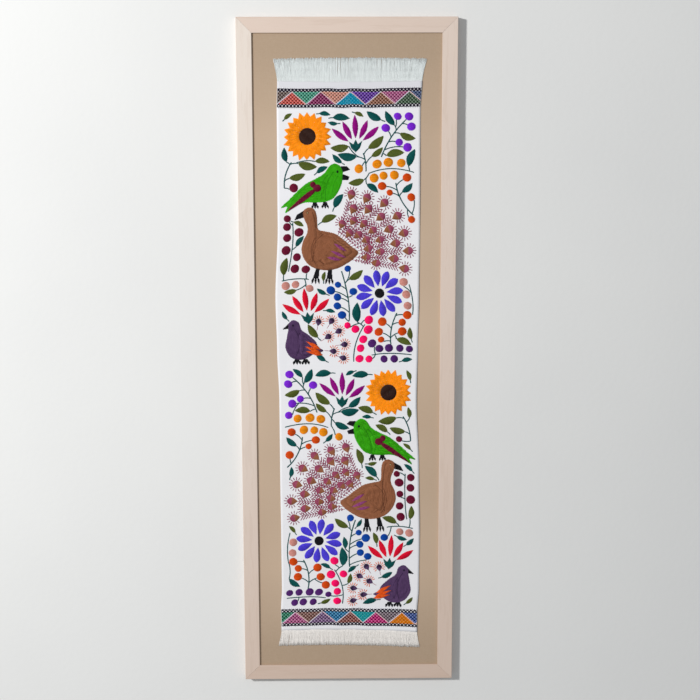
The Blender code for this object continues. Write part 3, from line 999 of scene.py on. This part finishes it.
def lay_out(mesh, count, stations, sides):
    """A map with a square of its own for each thread, which opens its wall out flat."""
    grid = math.ceil(math.sqrt(count))
    cell = np.stack((np.arange(count) % grid, np.arange(count) // grid), -1)[:, None, :]
    ring = np.arange(stations - 1)[:, None, None]
    side = np.arange(sides)[None, :, None]
    u = (ring + np.array((0, 0, 1, 1))) / (stations - 1) + 0 * side
    v = (side + np.array((0, 1, 1, 0))) / sides + 0 * ring
    wall = 0.08 + 0.84 * np.stack((u, v), -1).reshape(-1, 2)
    cap = on_circle(0.02, np.arange(sides) * 2.0 * np.pi / sides) + 0.035
    parts = (cell + part for part in (wall, cap, cap + (0.93, 0.0)))
    flat = np.concatenate([part.reshape(-1, 2) for part in parts]) / grid
    mesh.uv_layers.new(name="OFBake").data.foreach_set("uv", flat.astype(np.float32).ravel())


# How a thread lies along its length: share of its width and of its height at each ring, and how deep it dives.
# Ends is how far from each end the thread reaches its full height; a woven float has none, and stays up.

STITCH_SHAPE = {
    "widths": (0.80, 1.0, 1.0, 1.0, 0.80), "rise": (0.0, 0.90, 1.0, 0.90, 0.0), "dive": 0.0001, "ends": 0.0007,
}
FLOAT_SHAPE = {"widths": (0.95, 1.0, 0.95), "rise": (0.72, 1.0, 0.72), "dive": 0.0, "ends": 0.0}
TWIST_LENGTH = 0.0016
THREAD_BRIGHTNESS = 1.18


def cloth_top(points):
    return CLOTH_UNDERSIDE + CLOTH_THICKNESS + lift(points[..., 0], points[..., 1])


def thread_rings(start, stop, width, height, shape):
    """The rings of threads that rise from the cloth, run over it and dive back, and the turns of their twist."""
    way = stop - start
    length = np.linalg.norm(way, axis=-1, keepdims=True).clip(1e-6)
    left = np.stack((-way[:, 1], way[:, 0]), -1) / length
    share = np.tile(np.linspace(0.0, 1.0, len(shape["widths"])), (len(way), 1))
    if shape["ends"]:
        share[:, 1] = np.minimum(0.25, shape["ends"] / length[:, 0])
        share[:, 3] = 1.0 - share[:, 1]
    middle = start[:, None, :] + way[:, None, :] * share[..., None]
    half = left[:, None, :] * (width[:, None] * shape["widths"])[..., None] / 2.0
    spine = cloth_top(middle) + height[:, None] * shape["rise"]
    spine[:, [0, -1]] -= shape["dive"]
    shoulder = spine - np.minimum(0.55 * height, 0.0005)[:, None]
    flat = np.stack((middle + half, middle, middle - half), 2)
    rings = np.concatenate((flat, np.stack((shoulder, spine, shoulder), 2)[..., None]), -1)
    turns = (share * length / TWIST_LENGTH * 2.0 * np.pi)[..., None] + np.arange(3) * 2.0 * np.pi / 3.0
    return rings, turns


def add_embroidery(finish):
    pieces = []
    for panel, middle, mirror, seed in PANELS:
        draw = np.random.default_rng(seed)
        for kind, work in sew_panel(seed).items():
            starts, stops, colours, widths, heights = (np.array(column) for column in zip(*work.stitches))
            count = len(starts)
            spans = on_cloth(np.stack((starts, stops), 1), middle, mirror, seed)
            spans += draw.normal(0.0, SIDE_JITTER, (count, 2, 2))
            way = spans[:, 1] - spans[:, 0]
            way /= np.linalg.norm(way, axis=1, keepdims=True)
            spans += way[:, None, :] * draw.normal(0.0, END_JITTER, (count, 2, 1))
            width = widths * draw.uniform(0.94, 1.10, count)
            height = heights * draw.uniform(0.92, 1.08, count)
            shade = draw.normal(1.0, 0.055, count).clip(0.8, 1.2) * THREAD_BRIGHTNESS
            tints = np.array([THREADS[colour] for colour in colours]) * shade[:, None]
            rings, turns = thread_rings(spans[:, 0], spans[:, 1], width, height, STITCH_SHAPE)
            name = f"embroidery_{panel}_{kind}"
            pieces.append(add_strands(name, rings, tints, turns, finish))
    return pieces


# The two woven bands: coloured triangles with light and dark dots, between borders of black and white bird's eye

YARNS = dict(
    coral=(224, 78, 66), wine=(146, 22, 90), turquoise=(10, 156, 190), orange_brown=(160, 98, 70),
    dark_green=(62, 96, 66), grey_brown=(112, 92, 86), green_teal=(58, 164, 134), peach=(226, 148, 126),
    violet=(98, 40, 172), mauve_pink=(188, 84, 142), slate_blue=(56, 78, 128), lilac=(134, 96, 146),
    brick_brown=(152, 80, 72), hot_magenta=(208, 22, 122), orange=(230, 134, 22), mid_green=(24, 128, 92),
    brown=(138, 90, 80), blue=(18, 122, 180), teal_blue=(26, 164, 170), grey=(128, 110, 122), royal=(52, 82, 162),
    pink_line=(244, 214, 216), white_line=(238, 234, 246), black=(40, 34, 52), cord=(240, 240, 245),
)
BANDS = {
    "top": {
        "low": 0.7455, "high": 0.7994, "border": 0.0092, "dots_apart": 0.0102,
        "apexes": (-0.1601, -0.0770, 0.0093, 0.0976, 0.1807),
        "up": "coral wine turquoise orange_brown dark_green",
        "down": "grey_brown green_teal peach violet mauve_pink slate_blue",
    },
    "bottom": {
        "low": -0.8328, "high": -0.7780, "border": 0.0096, "dots_apart": 0.0110,
        "apexes": (-0.1637, -0.0806, 0.0050, 0.0834, 0.1640),
        "up": "mauve_pink lilac brick_brown hot_magenta orange",
        "down": "mid_green brown blue teal_blue grey royal",
    },
}
PICK = 0.00128
PLAIN_EDGE = 0.0013
LONGEST_FLOAT, FLOAT_STEP, FLOAT_OVERLAP = 0.0065, 0.0003, 1.04
ZIGZAG = 0.0017
BAND_SWAY = 0.0009
CORD_PICKS = 2
BAND_BRIGHTNESS = 1.22
FAINT_DOTS = "turquoise teal_blue orange"

# Where a dot is light, and beyond where dark, for faint dots and for the others, and the size of a bird's eye
FAINT_EDGES, FULL_EDGES, EYE_EDGE = ((0.45,), (1.70,)), ((0.85,), (1.30,)), 0.70
BARE, PLAIN, LIGHT, DARK = -1, 0, 1, 2


def band_row(band, x, y):
    """The yarns that show along one pick: their numbers times three, plus plain, light or dark, or bare cloth."""

    def numbers(names):
        return np.array([3 * list(YARNS).index(name) for name in names.split()])

    inner_low, inner_high = band["low"] + band["border"], band["high"] - band["border"]
    if y < band["low"] or y > band["high"]:
        return np.full(len(x), numbers("cord")[0])
    rising, falling = (place / band["dots_apart"] for place in (x + y - inner_low, x - y + inner_low))
    away = (np.abs(rising - np.round(rising)) + np.abs(falling - np.round(falling))) * 2.0
    if y < inner_low or y > inner_high:
        edge = min(y - band["low"], band["high"] - y) < PLAIN_EDGE
        return np.where((away < EYE_EDGE) & (not edge), BARE, numbers("black"))
    apexes = np.array(band["apexes"])
    last = len(apexes) - 1
    beyond = 2.0 * (apexes[-1] - apexes[0]) / last
    places = (apexes[0] - beyond, *apexes, apexes[-1] + beyond)
    phase = np.interp(x, places, (-2.0, *range(last + 1), last + 2.0))
    ramp = 1.0 - 2.0 * np.abs(phase - np.round(phase))
    share = (y - inner_low) / (inner_high - inner_low)
    up = numbers(band["up"])[np.round(phase).astype(int).clip(0, last)]
    down = numbers(band["down"])[(np.floor(phase) + 1).astype(int).clip(0, last + 1)]
    yarn = np.where(share < ramp, up, down)
    light, dark = np.where(np.isin(yarn, numbers(FAINT_DOTS)), FAINT_EDGES, FULL_EDGES)
    tone = np.where(away < light, LIGHT, np.where(away > dark, DARK, PLAIN))
    pink, white = numbers("pink_line white_line")
    line = np.where(np.floor(phase * 2.0) % 2.0 < 1.0, pink, white)
    return np.where(np.abs(share - ramp) * (inner_high - inner_low) < ZIGZAG, line, yarn + tone)


def add_band(end, finish):
    """One woven band: each pick's runs of one yarn are floats that stand a little above the cloth."""
    band = BANDS[end]
    draw = np.random.default_rng(41 + len(end))
    rows = round((band["high"] - band["low"]) / PICK)
    floats = []
    for row in range(-CORD_PICKS, rows + CORD_PICKS):
        y = band["low"] + (row + 0.5) * PICK
        left, right = selvedges(np.array(y))
        x = np.arange(left + 0.001, right - 0.001, FLOAT_STEP)
        yarn = band_row(band, x, y)
        changes = np.concatenate(((0,), np.flatnonzero(np.diff(yarn)) + 1, (len(x) - 1,)))
        for start, stop in zip(changes, changes[1:]):
            if yarn[start] != BARE and stop > start:
                cuts = np.linspace(x[start], x[stop], math.ceil((x[stop] - x[start]) / LONGEST_FLOAT) + 1)
                floats += [(a, b, y, yarn[start]) for a, b in zip(cuts, cuts[1:])]
    starts, stops, heights, yarns = np.array(floats).T
    left, right = selvedges(heights)
    sway = BAND_SWAY * np.sin(starts * 47.0 + 2.0 * np.sin(starts * 19.0))
    ends = [across_cloth((2.0 * x - left - right) / (right - left), heights + sway) for x in (starts, stops)]
    count = len(floats)
    width = PICK * FLOAT_OVERLAP * draw.uniform(0.95, 1.05, count)
    height = 0.0007 + 0.05 * np.minimum(stops - starts, 0.005)
    rings, turns = thread_rings(*ends, width, height, FLOAT_SHAPE)
    shade = draw.normal(1.0, 0.05, count).clip(0.8, 1.2)
    plain = np.array(list(YARNS.values()), float)
    colours = np.stack((plain, plain * 0.60 + 255.0 * 0.40, plain * 0.44), 1).reshape(-1, 3)
    tints = linear(colours[yarns.astype(int)]) * shade[:, None] * BAND_BRIGHTNESS
    return add_strands(f"woven_band_{end}", rings, tints, turns, finish)


# The fringes, as their solids have them: which way they point, how long they are, how much longer in the middle,
# and how far their corners spread

FRINGES = {
    # The top fringe's yarn is darker and cooler than the bottom one's; on the same white warp, that difference is
    # painted shade.
    "top": {"towards": 1, "length": 0.0620, "fuller": 0.07, "spread": (0.0120, 0.0140), "yarn": (232, 238, 238)},
    "bottom": {"towards": -1, "length": 0.0485, "fuller": 0.0, "spread": (0.0090, 0.0085), "yarn": (249, 245, 241)},
}
SPREAD_TO_CORNER, SPREAD_TO_TIP = 5, 1.4
YARNS_PER_FRINGE = 1400
YARN_WIDTH = 0.00095
CLUMPS = 44


def add_fringe(end, finish):
    """The cloth's warp ends, combed out: plied yarns of uneven length in two layers, drawn into loose clumps."""
    fringe = FRINGES[end]
    draw = np.random.default_rng(5 + len(end))
    height = CLOTH_HIGH if end == "top" else CLOTH_LOW
    count = YARNS_PER_FRINGE
    across = np.linspace(-0.996, 0.996, count) + draw.normal(0.0, 0.0006, count)
    layer = np.arange(count) % 2
    clump = across * CLUMPS / 2.0 + 0.25 * np.sin(across * 37.0)
    nearest = np.round(clump)
    firmness = (draw.uniform(0.0, 1.0, CLUMPS * 2) ** 7 * 0.50 + 0.03)[nearest.astype(int) + CLUMPS]
    pull = (nearest - clump) * firmness * (0.35 + 0.65 * layer)
    wander, phase = draw.normal(0.0, 0.0007, (count, 2)).T[..., None]
    ragged = 1.0 + 0.012 * np.sin(across * 61.0) + 0.010 * np.sin(across * 173.0) + draw.normal(0.0, 0.013, count)
    ragged = ragged + 0.030 * (draw.random(count) < 0.03)
    reach = (fringe["length"] * ragged * (1.0 + fringe["fuller"] * (1.0 - across ** 2)))[:, None]
    share = np.array((-0.05, 0.01, 0.2, 0.5, 0.78, 1.0))
    out = share.clip(0.0)
    root = across_cloth(across, np.full(count, height))
    left, right = selvedges(np.array(height))
    spread = np.where(across > 0.0, fringe["spread"][1], fringe["spread"][0]) * np.sign(across)
    fan = (spread * np.abs(across) ** SPREAD_TO_CORNER)[:, None] * out ** SPREAD_TO_TIP
    gathered = (pull * (right - left) / CLUMPS)[:, None] * smoothed(out * 1.4)
    x = root[:, :1] + fan + gathered + wander * np.sin(out * 5.0 + phase * 4000.0) * out
    y = root[:, 1:] + fringe["towards"] * reach * share
    comb = 0.0010 * (0.5 + 0.5 * np.sin(x * 47.0)) * smoothed(out) + 0.0004 * np.sin(out * 9.0 + phase * 3000.0)
    root_rise = np.array((0.2, 0.6, 0.25, 0.0, 0.0, 0.0)) * CLOTH_THICKNESS
    z = CLOTH_UNDERSIDE + YARN_WIDTH * 0.42 + layer[:, None] * 0.00062 * smoothed(out * 6.0)
    z = z + comb.clip(0.0) + root_rise
    thick = YARN_WIDTH / 2.0 * np.array((0.8, 1.0, 1.0, 1.0, 1.0, 0.62)) * draw.uniform(0.85, 1.15, count)[:, None]
    turn = np.arange(4) * np.pi / 2.0
    side, above = (thick[..., None] * way for way in (-fringe["towards"] * np.cos(turn), 0.8 * np.sin(turn)))
    rings = np.stack(np.broadcast_arrays(x[..., None] + side, y[..., None], z[..., None] + above), -1)
    turns = (share * reach / TWIST_LENGTH * 2.0 * np.pi)[..., None] + turn
    tints = linear(fringe["yarn"]) * draw.normal(1.0, 0.045, count).clip(0.85, 1.1)[:, None]
    piece = add_strands(f"fringe_yarns_{end}", rings, tints, turns, finish)
    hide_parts(f"fringe_{end}")
    return piece


def add_cloth(finish):
    """The cloth as one open surface on its wavy outline, thickened upwards."""
    mesh = grid_mesh("hanging_cloth", 64, 240, 1.0)
    points = np.empty(len(mesh.vertices) * 3)
    mesh.vertices.foreach_get("co", points)
    across, along, _ = points.reshape(-1, 3).T
    y = CLOTH_LOW + (CLOTH_HIGH - CLOTH_LOW) * (along + 1.0) / 2.0
    flat = across_cloth(across, y)
    laid = np.concatenate((flat, (CLOTH_UNDERSIDE + lift(flat[:, 0], y))[:, None]), 1)
    mesh.vertices.foreach_set("co", laid.ravel())
    mesh.shade_smooth()
    cloth = add_piece("hanging_cloth", mesh, finish)
    thickness = cloth.modifiers.new("thickness", "SOLIDIFY")
    thickness.thickness = CLOTH_THICKNESS
    thickness.offset = 1.0
    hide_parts("cloth")
    return cloth


def dress_frame():
    """Wood on the rails and a covering on the board, in the slots that they have."""
    across, along = limed_wood("frame_wood_across", "x"), limed_wood("frame_wood_along", "y")
    finishes = dict(rail_top=across, rail_bottom=across, rail_left=along, rail_right=along,
                    mounting_board=board_covering())
    for name, finish in finishes.items():
        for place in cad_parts[name].material_slots:
            place.material = finish


def add_floor():
    shade = Shade("floor_plaster")
    at, *_ = shade.place()
    colour = shade.mix(shade.noise(at, 1.3, 4.0), FLOOR["light"], FLOOR["deep"])
    mesh = grid_mesh("floor", 1, 1, 12.0)
    mesh.materials.append(shade.finish(colour, 0.9, shade.noise(at, 60.0, 4.0), 0.0004, 0.2))
    add_object("floor", mesh)


LAMP_PLACE = (-3.8, 1.9, 4.4)
LAMP_POWER, LAMP_SIZE, LAMP_COLOUR = 288.0, 0.50, (1.0, 0.985, 0.965)
ROOM_LIGHT, ROOM_COLOUR = 0.37, (0.96, 0.98, 1.0, 1.0)
CAMERA_PLACE, CAMERA_LENS, CAMERA_FILM = (-0.032, 0.623, 3.83), 66.33, 36.0
CAMERA_TURNS = (("Z", 0.14), ("X", 8.83), ("Y", 0.58))


def add_light():
    """A large soft lamp from the upper left, and pale light all round."""
    lamp = bpy.data.lights.new("soft_lamp", "AREA")
    lamp.energy = LAMP_POWER
    lamp.size = LAMP_SIZE
    lamp.color = LAMP_COLOUR
    holder = add_object("soft_lamp", lamp)
    holder.location = LAMP_PLACE
    holder.rotation_euler = (-Vector(LAMP_PLACE)).to_track_quat("-Z", "Y").to_euler()
    world = bpy.data.worlds.new("pale_room")
    world.use_nodes = True
    sky = world.node_tree.nodes["Background"]
    sky.inputs["Color"].default_value = ROOM_COLOUR
    sky.inputs["Strength"].default_value = ROOM_LIGHT
    bpy.context.scene.world = world
    bpy.context.scene.view_settings.view_transform = "Standard"


def add_camera():
    """The photograph's view of the hanging's face: place, and turns about the line of sight, down and across."""
    lens = bpy.data.cameras.new("camera")
    lens.lens, lens.sensor_width = CAMERA_LENS, CAMERA_FILM
    camera = add_object("camera", lens)
    seen = Matrix.Identity(3)
    for axis, degrees in CAMERA_TURNS:
        seen = seen @ Matrix.Rotation(math.radians(degrees), 3, axis)
    camera.matrix_world = Matrix.Translation(CAMERA_PLACE) @ seen.transposed().to_4x4()
    bpy.context.scene.camera = camera


def build():
    dress_frame()
    thread = coloured_yarn("embroidery_thread", 0.55, 0.16, 0.00004)
    woven = coloured_yarn("band_yarn", 0.75, 0.08, 0.00003)
    fringe_yarn = coloured_yarn("fringe_yarn", 0.85, 0.10, 0.00005)
    cloth = add_cloth(cotton_cloth())
    bands = [add_band(end, woven) for end in BANDS]
    fringes = [add_fringe(end, fringe_yarn) for end in FRINGES]
    embroidery = add_embroidery(thread)
    add_floor()
    add_light()
    add_camera()


build()
